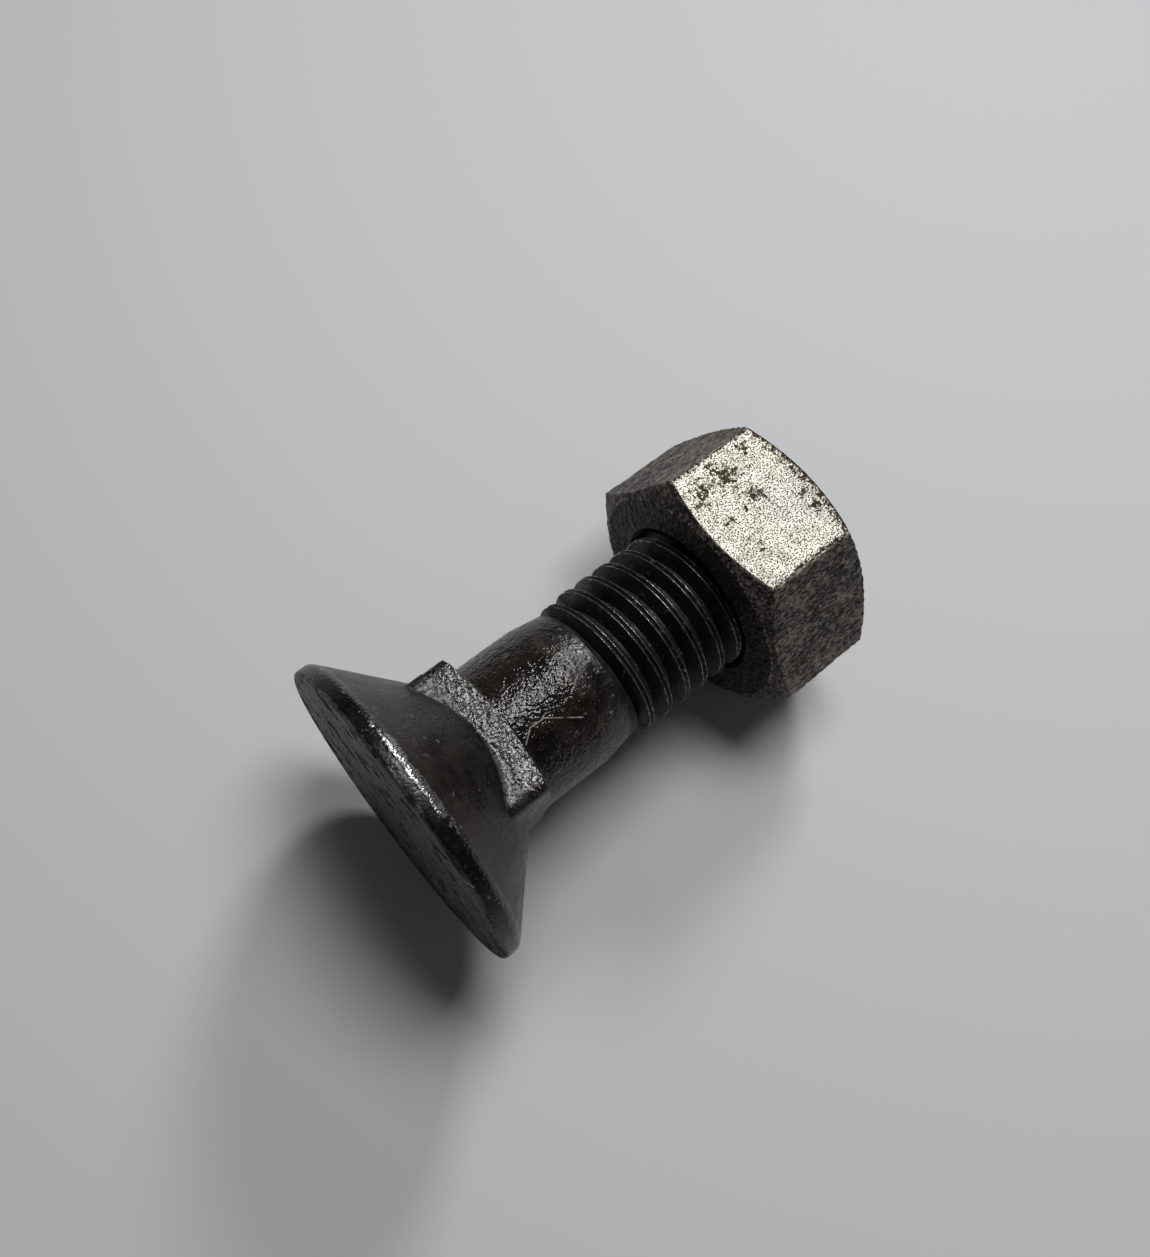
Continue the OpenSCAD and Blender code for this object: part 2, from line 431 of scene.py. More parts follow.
outward = add(tree, "GeometryNodeFlipFaces", {"Mesh": closed, "Selection": inward})
joined = add(tree, "GeometryNodeJoinGeometry")
for part in (given.outputs["Geometry"], outward):
    feed(tree, joined.inputs["Geometry"], part)
feed(tree, made.inputs["Geometry"], joined)
thread_tree = tree
shape(bolt, thread_tree, thread_sizes)

# ---- Bolt: blackened steel and its wear --------------------------------------------------------
# Forged carbon steel, blackened and oiled. The black is brown and satin on the cone, glossy and
# grainy on the shank, and rubbed down to grey steel on the neck, the rim and the crests. On the
# rim's top that grey steel is partly a painted highlight.
blackened_steel = bpy.data.materials.new("blackened_forged_steel")


def linear(code):
    """The linear colour of an sRGB hex value."""
    parts = [int(code[i:i + 2], 16) / 255 for i in (1, 3, 5)]
    return [c / 12.92 if c <= 0.04045 else ((c + 0.055) / 1.055) ** 2.4 for c in parts] + [1.0]


# Up the bolt from the head's face: height in mm, colour, share of bare steel, roughness, depth
# of the grain in mm, share of pits.
finishes = [
    (0.0, "#565757", 0.0, 0.50, 0.10, 0.50),
    (0.13, "#434444", 0.0, 0.55, 0.10, 0.50),
    (0.26, "#080808", 0.0, 0.34, 0.02, 0.10),
    (0.98, "#090908", 0.0, 0.32, 0.02, 0.10),
    # The rim's bare share here is partly wear and partly a painted highlight, kept to the top by
    # a mask below.
    (1.10, "#12100e", 0.85, 0.18, 0.07, 0.05),
    (1.50, "#14100e", 0.80, 0.20, 0.07, 0.05),
    (1.70, "#191410", 0.0, 0.34, 0.02, 0.15),
    (4.5, "#15120e", 0.0, 0.35, 0.02, 0.30),
    (6.9, "#13120e", 0.0, 0.32, 0.03, 0.45),
    (7.3, "#17130f", 0.0, 0.10, 0.055, 0.35),
    (8.8, "#17130f", 0.0, 0.08, 0.065, 0.30),
    (12.8, "#17130f", 0.0, 0.07, 0.075, 0.25),
    (14.1, "#17130f", 0.0, 0.07, 0.075, 0.20),
    (14.35, "#33221a", 0.0, 0.26, 0.04, 0.15),
    (14.5, "#1f1a17", 0.0, 0.27, 0.065, 0.25),
    (16.6, "#151311", 0.0, 0.28, 0.04, 0.10),
    (17.1, "#070706", 0.0, 0.58, 0.035, 0.05),
    (38.5, "#070706", 0.0, 0.58, 0.035, 0.05),
]
blackened_steel.use_nodes = True
tree = blackened_steel.node_tree
steel = tree.nodes["Principled BSDF"]
steel.inputs["Specular IOR Level"].default_value = 0.4
where = add(tree, "ShaderNodeTexCoord")
turned_back = add(tree, "ShaderNodeMapping", {
    "Vector": where.outputs["Object"],
    "Location": lying.inverted().translation,
    "Rotation": lying.inverted().to_euler(),
})
bolt_place = add(tree, "ShaderNodeSeparateXYZ", {0: turned_back})
# The finishes change along borders that wander by 0.1 mm.
border = add(tree, "ShaderNodeTexNoise", {
    "Vector": turned_back, "Scale": 1 / (0.8 * mm), "Detail": 3.0,
})
border_height = add(tree, "ShaderNodeMath", {
    0: border, 1: 0.5 * mm, 2: bolt_place.outputs["Z"],
}, operation="MULTIPLY_ADD")
up_bolt = add(tree, "ShaderNodeMapRange", {
    "Value": border_height, "From Min": 0.25 * mm, "From Max": bolt_length + 0.25 * mm,
})
zone_colour = add(tree, "ShaderNodeValToRGB", {"Fac": up_bolt})
zone_surface = add(tree, "ShaderNodeValToRGB", {"Fac": up_bolt})
for ramp in (zone_colour, zone_surface):
    ramp.color_ramp.elements.remove(ramp.color_ramp.elements[1])
for height, code, bare_share, rough, grain_depth, pit_share in finishes:
    surface = [rough, grain_depth, pit_share, 1.0]
    for ramp, value in ((zone_colour, linear(code)[:3] + [bare_share]), (zone_surface, surface)):
        stops = ramp.color_ramp.elements
        stop = stops[0] if height == 0 else stops.new(height * mm / bolt_length)
        stop.color = value
zone = add(tree, "ShaderNodeSeparateColor", {"Color": zone_surface})
# Forging scale: patches of about 2 mm, lighter where it is thin.
patches = add(tree, "ShaderNodeTexNoise", {
    "Vector": turned_back, "Scale": 1 / (2.2 * mm), "Detail": 6.0, "Roughness": 0.6,
})
thin_scale = add(tree, "ShaderNodeMapRange", {
    "Value": patches, "From Min": 0.35, "From Max": 0.65, "To Min": 0.3, "To Max": 1.9,
})
scaly_gloss = add(tree, "ShaderNodeMapRange", {
    "Value": patches, "From Min": 0.35, "From Max": 0.65, "To Min": 0.75, "To Max": 1.3,
})
# The head's flat face has pits of 2 mm, which run together and hold the black.
on_face = add(tree, "ShaderNodeMapRange", {
    "Value": bolt_place.outputs["Z"], "From Min": 0.3 * mm, "From Max": 0.1 * mm,
})
blotches = add(tree, "ShaderNodeTexNoise", {
    "Vector": turned_back, "Scale": 1 / (2 * mm), "Detail": 4.0, "Roughness": 0.6,
})
blotch = add(tree, "ShaderNodeMapRange", {"Value": blotches, "From Min": 0.53, "From Max": 0.60})
face_blotch = add(tree, "ShaderNodeMath", {0: blotch, 1: on_face}, operation="MULTIPLY")
face_shade = add(tree, "ShaderNodeMath", {
    0: face_blotch, 1: -0.7, 2: 1.0,
}, operation="MULTIPLY_ADD")
shade = add(tree, "ShaderNodeMath", {0: thin_scale, 1: face_shade}, operation="MULTIPLY")
black = add(tree, "ShaderNodeVectorMath", {0: zone_colour, "Scale": shade}, operation="SCALE")
# Grain of 0.2 mm, which glitters where the black is glossy.
grains = add(tree, "ShaderNodeTexNoise", {
    "Vector": turned_back, "Scale": 1 / (0.2 * mm), "Detail": 1.0, "Roughness": 0.35,
})
# Rubbing leaves ragged patches of 0.6 mm, down to specks.
rubs = add(tree, "ShaderNodeTexNoise", {
    "Vector": turned_back, "Scale": 1 / (0.6 * mm), "Detail": 5.0, "Roughness": 0.75,
})
# Bare steel on the neck's upper flat, on the rim and on the two edges of the thread's crest. On
# the rim it is also a painted highlight.
flat_part = add(tree, "ShaderNodeAttribute", attribute_name="flat")
crest_part = add(tree, "ShaderNodeAttribute", attribute_name="bare")
upper_side = add(tree, "ShaderNodeMapRange", {
    "Value": bolt_place.outputs["X"], "From Min": -neck_width / 2 + 0.35 * mm,
    "From Max": -neck_width / 2 + 0.2 * mm, "To Max": 1.0,
})
from_middle = add(tree, "ShaderNodeMath", {0: bolt_place.outputs["Y"]}, operation="ABSOLUTE")
off_corner = add(tree, "ShaderNodeMapRange", {
    "Value": from_middle, "From Min": 5.4 * mm, "From Max": 4.9 * mm,
})
on_flat = add(
    tree, "ShaderNodeMath", {0: upper_side, 1: flat_part.outputs["Fac"]}, operation="MULTIPLY"
)
upper_flat = add(tree, "ShaderNodeMath", {0: on_flat, 1: off_corner}, operation="MULTIPLY")
# The rim's bare steel is kept to its top, round where the high lamp's highlight falls: partly
# wear, partly a painted highlight.
from_top = add(tree, "ShaderNodeMath", {0: bolt_place.outputs["Y"], 1: 1.0 * mm}, operation="ADD")
off_top = add(tree, "ShaderNodeMath", {0: from_top}, operation="ABSOLUTE")
near_top = add(tree, "ShaderNodeMapRange", {
    "Value": off_top, "From Min": 2.2 * mm, "From Max": 4.4 * mm,
    "To Min": 1.0, "To Max": 0.1,
})
upper_half = add(tree, "ShaderNodeMapRange", {
    "Value": bolt_place.outputs["X"], "From Min": 2 * mm, "From Max": -4 * mm,
    "To Min": 0.3, "To Max": 1.0,
})
wear_and_highlight_share = add(tree, "ShaderNodeMath", {0: near_top, 1: upper_half}, operation="MULTIPLY")
rim_wear_and_highlight = add(tree, "ShaderNodeMath", {
    0: wear_and_highlight_share, 1: zone_colour.outputs["Alpha"],
}, operation="MULTIPLY")
crest_bare = add(tree, "ShaderNodeMath", {
    0: crest_part.outputs["Fac"], 1: 0.8,
}, operation="MULTIPLY")
all_rubbed = add(tree, "ShaderNodeMath", {0: rim_wear_and_highlight, 1: crest_bare}, operation="MAXIMUM")
grain_rubbed = add(
    tree, "ShaderNodeMath", {0: all_rubbed, 1: 0.35, 2: rubs}, operation="MULTIPLY_ADD"
)
spots_bare = add(tree, "ShaderNodeMapRange", {
    "Value": grain_rubbed, "From Min": 0.62, "From Max": 0.76,
})
# The neck is rubbed more evenly, and most towards its lower corner.
down_neck = add(tree, "ShaderNodeMapRange", {
    "Value": bolt_place.outputs["Y"], "From Min": 3 * mm, "From Max": -5 * mm,
    "To Min": 0.24, "To Max": 0.34,
})
neck_rubs = add(tree, "ShaderNodeMapRange", {
    "Value": rubs, "From Min": 0.35, "From Max": 0.65, "To Min": 0.4, "To Max": 1.2,
})
neck_share = add(tree, "ShaderNodeMath", {0: down_neck, 1: neck_rubs}, operation="MULTIPLY")
neck_bare = add(tree, "ShaderNodeMath", {
    0: upper_flat, 1: neck_share,
}, operation="MULTIPLY", use_clamp=True)
bare_part = add(tree, "ShaderNodeMath", {0: neck_bare, 1: spots_bare}, operation="MAXIMUM")
steel_colour = add(tree, "ShaderNodeMix", {
    "Factor": bare_part, "A": black, "B": linear("#9d9e9c"),
}, data_type="RGBA")
# Pits of 0.22 mm hold the black.
pores = add(tree, "ShaderNodeTexNoise", {
    "Vector": turned_back, "Scale": 1 / (0.22 * mm), "Detail": 2.0,
})
flat_pits = add(tree, "ShaderNodeMath", {0: on_flat, 1: 0.6}, operation="MULTIPLY")
pit_share = add(tree, "ShaderNodeMath", {
    0: zone.outputs["Blue"], 1: flat_pits,
}, operation="MAXIMUM")
pit_level = add(
    tree, "ShaderNodeMath", {0: pit_share, 1: 0.25, 2: pores}, operation="MULTIPLY_ADD"
)
pitted = add(tree, "ShaderNodeMapRange", {"Value": pit_level, "From Min": 0.68, "From Max": 0.74})
pitted_colour = add(tree, "ShaderNodeMix", {
    "Factor": pitted, "A": steel_colour, "B": linear("#090808"),
}, data_type="RGBA")
clean = add(tree, "ShaderNodeMath", {0: 1.0, 1: pitted}, operation="SUBTRACT")
metal = add(tree, "ShaderNodeMath", {0: bare_part, 1: clean}, operation="MULTIPLY")
feed(tree, steel.inputs["Metallic"], metal)
# Pale scratches and dark nicks, each from one place to another, in mm.
scratches = [
    ((-5.37, -2.56, 9.2), (-5.64, -1.86, 10.1), 0.048, "#8a847d"),
    ((-5.64, -1.86, 10.1), (-5.62, -1.93, 11.3), 0.048, "#8a847d"),
    ((-5.62, -1.93, 11.3), (-4.90, -3.35, 13.6), 0.048, "#8a847d"),
    ((-4.11, -4.16, 15.6), (-4.05, -4.22, 15.8), 0.13, "#80655f"),
    ((-7.1, -10.0, 0.7), (-7.4, -9.7, 1.9), 0.12, "#0c0b0a"),
    ((-9.3, -7.6, 0.0), (-8.9, -8.3, 0.3), 0.06, "#8f8e8a"),
]
marked_colour = pitted_colour
for start, end, half_width, code in scratches:
    start, end = Vector(start) * mm, Vector(end) * mm
    run = end - start
    from_start = add(
        tree, "ShaderNodeVectorMath", {0: turned_back, 1: start}, operation="SUBTRACT"
    )
    share = add(tree, "ShaderNodeVectorMath", {
        0: from_start, 1: run / run.length_squared,
    }, operation="DOT_PRODUCT")
    held = add(tree, "ShaderNodeClamp", {"Value": share.outputs["Value"]})
    nearest = add(
        tree, "ShaderNodeVectorMath", {0: held, 1: run, 2: start}, operation="MULTIPLY_ADD"
    )
    gap = add(tree, "ShaderNodeVectorMath", {0: turned_back, 1: nearest}, operation="DISTANCE")
    on_mark = add(tree, "ShaderNodeMapRange", {
        "Value": gap.outputs["Value"],
        "From Min": 1.3 * half_width * mm, "From Max": 0.7 * half_width * mm,
    })
    marked_colour = add(tree, "ShaderNodeMix", {
        "Factor": on_mark, "A": marked_colour, "B": linear(code),
    }, data_type="RGBA")
feed(tree, steel.inputs["Base Color"], marked_colour)
# Bare steel is smoothest on the rim and on the crests.
up_roughness = add(tree, "ShaderNodeMapRange", {
    "Value": bolt_place.outputs["Z"], "From Min": 2 * mm, "From Max": 7 * mm,
    "To Min": 0.24, "To Max": 0.42,
})
bare_roughness = add(tree, "ShaderNodeMath", {
    0: crest_part.outputs["Fac"], 1: -0.15, 2: up_roughness,
}, operation="MULTIPLY_ADD")
scaly_roughness = add(tree, "ShaderNodeMath", {
    0: zone.outputs["Red"], 1: scaly_gloss,
}, operation="MULTIPLY")
black_roughness = add(tree, "ShaderNodeMath", {
    0: face_blotch, 1: 0.45, 2: scaly_roughness,
}, operation="MULTIPLY_ADD", use_clamp=True)
roughness = add(tree, "ShaderNodeMix", {
    "Factor": metal, "A": black_roughness, "B": bare_roughness,
}, data_type="FLOAT")
feed(tree, steel.inputs["Roughness"], roughness)
# The relief is worked out in millimetres.
flat_grain = add(tree, "ShaderNodeMath", {0: on_flat, 1: 0.045}, operation="MULTIPLY")
grain_depth = add(tree, "ShaderNodeMath", {
    0: zone.outputs["Green"], 1: flat_grain,
}, operation="MAXIMUM")
grain_relief = add(tree, "ShaderNodeMath", {0: grain_depth, 1: grains}, operation="MULTIPLY")
face_relief = add(
    tree, "ShaderNodeMath", {0: face_blotch, 1: -0.12, 2: grain_relief}, operation="MULTIPLY_ADD"
)
relief = add(
    tree, "ShaderNodeMath", {0: pitted, 1: -0.05, 2: face_relief}, operation="MULTIPLY_ADD"
)
bump = add(tree, "ShaderNodeBump", {"Strength": 1.0, "Distance": mm, "Height": relief})
feed(tree, steel.inputs["Normal"], bump)

wear_sizes = {
    "Dent Size": 4.0 * mm,
    "Dent Depth": 0.12 * mm,
    "Pit Size": 0.5 * mm,
    "Pit Depth": 0.05 * mm,
    "Stretch": 1.0,
    "Seed": 3.0,
    "Finish": blackened_steel,
}
tree, given, made = new_tree("Worn Surface", wear_sizes)
place = add(tree, "GeometryNodeInputPosition")
squeeze = add(tree, "ShaderNodeMath", {0: 1.0, 1: given.outputs["Stretch"]}, operation="DIVIDE")
squeezes = add(tree, "ShaderNodeCombineXYZ", {"X": 1.0, "Y": 1.0, "Z": squeeze})
stretched = add(tree, "ShaderNodeVectorMath", {0: place, 1: squeezes}, operation="MULTIPLY")
one_over_dent = add(
    tree, "ShaderNodeMath", {0: 1.0, 1: given.outputs["Dent Size"]}, operation="DIVIDE"
)
dents = add(tree, "ShaderNodeTexNoise", {
    "Vector": stretched, "W": given.outputs["Seed"], "Scale": one_over_dent, "Detail": 1.0,
}, noise_dimensions="4D")
dent_depth = add(
    tree, "ShaderNodeMath", {0: dents, 1: given.outputs["Dent Depth"]}, operation="MULTIPLY"
)
one_over_pit = add(
    tree, "ShaderNodeMath", {0: 1.0, 1: given.outputs["Pit Size"]}, operation="DIVIDE"
)
pits = add(tree, "ShaderNodeTexNoise", {
    "Vector": stretched, "W": given.outputs["Seed"], "Scale": one_over_pit, "Detail": 2.0,
}, noise_dimensions="4D")
pit = add(tree, "ShaderNodeMapRange", {
    "Value": pits, "From Min": 0.35, "From Max": 0.7,
}, interpolation_type="SMOOTHSTEP")
depth = add(tree, "ShaderNodeMath", {
    0: pit, 1: given.outputs["Pit Depth"], 2: dent_depth,
}, operation="MULTIPLY_ADD")
# A calm surface keeps its shape.
calm = add(tree, "GeometryNodeInputNamedAttribute", {"Name": "calm"}, data_type="FLOAT")
lively = add(tree, "ShaderNodeMath", {0: 1.0, 1: calm}, operation="SUBTRACT")
own_depth = add(tree, "ShaderNodeMath", {0: depth, 1: lively}, operation="MULTIPLY")
normal = add(tree, "GeometryNodeInputNormal")
inwards = add(tree, "ShaderNodeMath", {0: own_depth, 1: -1.0}, operation="MULTIPLY")
offset = add(tree, "ShaderNodeVectorMath", {0: normal, "Scale": inwards}, operation="SCALE")
marked = add(tree, "GeometryNodeStoreNamedAttribute", {
    "Geometry": given.outputs["Geometry"], "Name": "pit", "Value": pit,
}, data_type="FLOAT", domain="POINT")
worn = add(tree, "GeometryNodeSetPosition", {"Geometry": marked, "Offset": offset})
smooth = add(tree, "GeometryNodeSetShadeSmooth", {"Geometry": worn})
real = add(tree, "GeometryNodeRealizeInstances", {"Geometry": smooth})
finished = add(tree, "GeometryNodeSetMaterial", {
    "Geometry": real, "Material": given.outputs["Finish"],
})
feed(tree, made.inputs["Geometry"], finished)
wear_tree = tree
shape(bolt, wear_tree, wear_sizes)


def finish_piece(name, shaped, body, node):
    """Makes a plain mesh of a shaped piece, lays it down and puts it in place of its CAD node."""
    ready = shaped.evaluated_get(bpy.context.evaluated_depsgraph_get())
    mesh = bpy.data.meshes.new_from_object(ready)
    mesh.name = name
    mesh.transform(lying)
    piece = bpy.data.objects.new(name, mesh)
    scene.collection.objects.link(piece)
    bpy.data.objects.remove(shaped)
    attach(piece, body)
    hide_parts(node)


finish_piece("blackened_bolt", bolt, "bolt", "plow_bolt")
bpy.data.objects.remove(thread_sizes["Form"])

# ---- Nut: hexagon, chamfers and bore -----------------------------------------------------------
# A 19 mm hex nut of steel, cold formed, with a 30 degree chamfer on both faces and countersunk
# mouths. It is run part of the way down the thread.
nut_half_width = 9.5 * mm
nut_height = 9.7 * mm
nut_seat = 27.4 * mm
nut_face_radius = 9.05 * mm
nut_chamfer = math.radians(30)
bore_radius = 6.05 * mm
mouth_radius = 6.5 * mm
mouth_depth = mouth_radius - bore_radius
half_flat = math.radians(30)
chamfer_rows = 6
flat_rows = 75
bore_rows = 24

# Each point of the outline has a radius, a share of the way out to the hexagon, a share of the
# way up the nut, and a depth under the nearer face.
nut_outline = [(bore_radius, 0, 0, mouth_depth)]
stretch(nut_outline, (mouth_radius, 0, 0, 0), 0.12 * mm)
stretch(nut_outline, (nut_face_radius, 0, 0, 0), 0.15 * mm)
for i in range(1, chamfer_rows + 1):
    nut_outline.append((nut_face_radius, i / chamfer_rows, 0, 0))
near_face = list(nut_outline)
for i in range(1, flat_rows):
    nut_outline.append((nut_face_radius, 1, i / flat_rows, 0))
for radius, out, rise, sink in reversed(near_face):
    nut_outline.append((radius, out, 1, sink))
for i in range(1, bore_rows + 1):
    nut_outline.append((bore_radius, 0, 1 - i / bore_rows, mouth_depth))
nut = outline_piece(
    "nut_outline",
    [(radius, out, rise) for radius, out, rise, sink in nut_outline],
    sink=[sink for radius, out, rise, sink in nut_outline],
)
nut_sizes = {
    "Columns": 420,
    "Half Width": nut_half_width,
    "Height": nut_height,
    "Seat": nut_seat,
    "Face Radius": nut_face_radius,
    "Chamfer Slope": math.tan(nut_chamfer),
    "Corner": 0.5 * mm,
}
tree, given, made = new_tree("Nut Blank", nut_sizes)
outline = given.outputs["Geometry"]
grid, row, turn, angle, path = turned_grid(tree, outline, given.outputs["Columns"], 1.0)
sink = row_value(tree, outline, row, "sink")
from_flat = add(tree, "ShaderNodeMath", {0: angle, 1: half_flat}, operation="PINGPONG")
to_next = add(tree, "ShaderNodeMath", {0: 2 * half_flat, 1: from_flat}, operation="SUBTRACT")
this_cosine = add(tree, "ShaderNodeMath", {0: from_flat}, operation="COSINE")
next_cosine = add(tree, "ShaderNodeMath", {0: to_next}, operation="COSINE")
this_flat = add(
    tree, "ShaderNodeMath", {0: given.outputs["Half Width"], 1: this_cosine}, operation="DIVIDE"
)
next_flat = add(
    tree, "ShaderNodeMath", {0: given.outputs["Half Width"], 1: next_cosine}, operation="DIVIDE"
)
hexagon = add(tree, "ShaderNodeMath", {
    0: this_flat, 1: next_flat, 2: given.outputs["Corner"],
}, operation="SMOOTH_MIN")
room = add(tree, "ShaderNodeMath", {0: hexagon, 1: path.outputs["X"]}, operation="SUBTRACT")
radius = add(tree, "ShaderNodeMath", {
    0: path.outputs["Y"], 1: room, 2: path.outputs["X"],
}, operation="MULTIPLY_ADD")
past_face = add(
    tree, "ShaderNodeMath", {0: radius, 1: given.outputs["Face Radius"]}, operation="SUBTRACT"
)
on_chamfer = add(tree, "ShaderNodeMath", {0: past_face, 1: 0.0}, operation="MAXIMUM")
drop = add(tree, "ShaderNodeMath", {
    0: on_chamfer, 1: given.outputs["Chamfer Slope"], 2: sink,
}, operation="MULTIPLY_ADD")
both_drops = add(tree, "ShaderNodeMath", {0: drop, 1: 2.0}, operation="MULTIPLY")
between = add(
    tree, "ShaderNodeMath", {0: given.outputs["Height"], 1: both_drops}, operation="SUBTRACT"
)
above_drop = add(tree, "ShaderNodeMath", {
    0: path.outputs["Z"], 1: between, 2: drop,
}, operation="MULTIPLY_ADD")
height = add(tree, "ShaderNodeMath", {0: above_drop, 1: given.outputs["Seat"]})
# One flat is still plated and smooth. The bore keeps its shape too.
from_opposite = add(tree, "ShaderNodeMath", {0: angle, 1: math.pi}, operation="SUBTRACT")
off_plated = add(tree, "ShaderNodeMath", {0: from_opposite}, operation="ABSOLUTE")
plated = add(tree, "ShaderNodeMapRange", {
    "Value": off_plated,
    "From Min": half_flat - math.radians(0.5), "From Max": half_flat - math.radians(2),
    "To Min": 0.3, "To Max": 0.85,
})
on_side = add(tree, "ShaderNodeMath", {0: plated, 1: path.outputs["Y"]}, operation="MULTIPLY")
in_bore = add(tree, "ShaderNodeMapRange", {
    "Value": radius, "From Min": mouth_radius + 0.3 * mm, "From Max": mouth_radius,
})
calm = add(tree, "ShaderNodeMath", {0: on_side, 1: in_bore}, operation="MAXIMUM")
closed = turned_shape(
    tree, grid, radius, angle, height, joins=1.0, rise=path.outputs["Z"], calm=calm
)
feed(tree, made.inputs["Geometry"], closed)
shape(nut, tree, nut_sizes)

# ---- Nut: tapped thread ------------------------------------------------------------------------
# The nut's own thread is cut inwards from the bore, and its ridge runs in the bolt's groove half
# a pitch away from the bolt's ridge.
# Across the ridge in mm, and its share of the full height.
tapped_form = [
    (-0.64, ridge_foot), (-0.58, 0.06), (-0.30, 0.85), (-0.2, 1.0), (0, 1.02),
    (0.2, 1.0), (0.30, 0.85), (0.58, 0.06), (0.64, ridge_foot),
    (-0.64, ridge_foot),
]
tapped_sizes = {
    "Form": outline_piece(
        "tapped_form", [(across * mm, 0, level) for across, level in tapped_form]
    ),
    "Columns": 120,
    "Turns": 7.5,
    "Pitch": thread_pitch,
    "Start": thread_start + 5.5 * thread_pitch,
    "Base Radius": bore_radius,
    "Crest Radius": 5.2 * mm,
    "Buried Radius": bore_radius + 0.05 * mm,
    "Rise From": -1.0,
    "Rise Turns": 1.0,
    "Low Face": nut_seat,
    "High Face": nut_seat + nut_height,
    "Cut": mouth_depth,
}
shape(nut, thread_tree, tapped_sizes)

# ---- Nut: worn plated steel --------------------------------------------------------------------
# Zinc-plated steel. On most flats the plating has gone to a dull brown-black crust of oxide, and
# one flat is still bright, cream-silver and speckled where the crust has been rubbed away.
plated_steel = bpy.data.materials.new("worn_zinc_plated_steel")
plated_steel.use_nodes = True
tree = plated_steel.node_tree
steel = tree.nodes["Principled BSDF"]
steel.inputs["Specular IOR Level"].default_value = 0.35
where = add(tree, "ShaderNodeTexCoord")
turned_back = add(tree, "ShaderNodeMapping", {
    "Vector": where.outputs["Object"],
    "Location": lying.inverted().translation,
    "Rotation": lying.inverted().to_euler(),
})
nut_place = add(tree, "ShaderNodeSeparateXYZ", {0: turned_back})
# Crusts of 0.25 mm, a little drawn out along the nut, down to fine specks.
drawn_out = add(tree, "ShaderNodeMapping", {"Vector": turned_back, "Scale": (1, 1, 0.5)})
crusts = add(tree, "ShaderNodeTexNoise", {
    "Vector": drawn_out, "Scale": 1 / (0.25 * mm), "Detail": 3.0, "Roughness": 0.6,
})
fines = add(tree, "ShaderNodeTexNoise", {
    "Vector": drawn_out, "Scale": 1 / (0.1 * mm), "Detail": 2.0,
})
uneven = add(tree, "ShaderNodeMix", {"Factor": 0.35, "A": crusts, "B": fines}, data_type="FLOAT")
# Broader stains of 2 mm make some places darker.
broad = add(tree, "ShaderNodeTexNoise", {
    "Vector": drawn_out, "Scale": 1 / (2 * mm), "Detail": 3.0,
})
stains = add(tree, "ShaderNodeMix", {"Factor": 0.25, "A": uneven, "B": broad}, data_type="FLOAT")
dark = add(tree, "ShaderNodeValToRGB", {"Fac": stains})
dark.color_ramp.elements[0].position = 0.465
dark.color_ramp.elements[0].color = linear("#0c0a09")
dark.color_ramp.elements[1].position = 0.60
dark.color_ramp.elements[1].color = linear("#8a7f75")
# The two faces are blacker than the flats, inside a paler line at the foot of the chamfer.
across_nut = add(tree, "ShaderNodeCombineXYZ", {
    "X": nut_place.outputs["X"], "Y": nut_place.outputs["Y"],
})
from_axis = add(tree, "ShaderNodeVectorMath", {0: across_nut}, operation="LENGTH")
face_shade = add(tree, "ShaderNodeMapRange", {
    "Value": from_axis.outputs["Value"],
    "From Min": nut_face_radius - 0.1 * mm, "From Max": nut_face_radius + 0.05 * mm,
    "To Min": 0.4, "To Max": 1.0,
})
off_line = add(tree, "ShaderNodeMath", {
    0: from_axis.outputs["Value"], 1: nut_face_radius,
}, operation="SUBTRACT")
line_gap = add(tree, "ShaderNodeMath", {0: off_line}, operation="ABSOLUTE")
pale_line = add(tree, "ShaderNodeMapRange", {
    "Value": line_gap, "From Min": 0.1 * mm, "From Max": 0.04 * mm, "To Max": 1.0,
})
# The thread inside is black with oil.
bore_shade = add(tree, "ShaderNodeMapRange", {
    "Value": from_axis.outputs["Value"],
    "From Min": bore_radius + 0.1 * mm, "From Max": bore_radius + 0.5 * mm,
    "To Min": 0.35, "To Max": 1.0,
})
ring_shade = add(tree, "ShaderNodeMath", {0: pale_line, 1: face_shade}, operation="ADD")
dull_shade = add(tree, "ShaderNodeMath", {0: ring_shade, 1: bore_shade}, operation="MULTIPLY")
dull = add(tree, "ShaderNodeVectorMath", {0: dark, "Scale": dull_shade}, operation="SCALE")
# The bright flat has dark specks of 0.12 mm, on a cream that clouds over in patches of 1 mm.
specks = add(tree, "ShaderNodeTexNoise", {
    "Vector": turned_back, "Scale": 1 / (0.12 * mm), "Detail": 1.0,
})
cloud = add(tree, "ShaderNodeTexNoise", {
    "Vector": turned_back, "Scale": 1 / (1.1 * mm), "Detail": 4.0, "Roughness": 0.6,
})
cream = add(tree, "ShaderNodeValToRGB", {"Fac": cloud})
cream.color_ramp.elements[0].position = 0.35
cream.color_ramp.elements[0].color = linear("#a5a299")
cream.color_ramp.elements[1].position = 0.6
cream.color_ramp.elements[1].color = linear("#d2cfc2")
# The plating is worn to a cooler grey in one patch near the middle.
patch_gap = add(tree, "ShaderNodeVectorMath", {
    0: turned_back, 1: (-nut_half_width, -1.2 * mm, 34.4 * mm),
}, operation="DISTANCE")
patch_part = add(tree, "ShaderNodeMapRange", {
    "Value": patch_gap.outputs["Value"], "From Min": 2.8 * mm, "From Max": 0.6 * mm,
    "To Max": 0.6,
})
worn_cream = add(tree, "ShaderNodeMix", {
    "Factor": patch_part, "A": cream, "B": linear("#a4a6a6"),
}, data_type="RGBA")
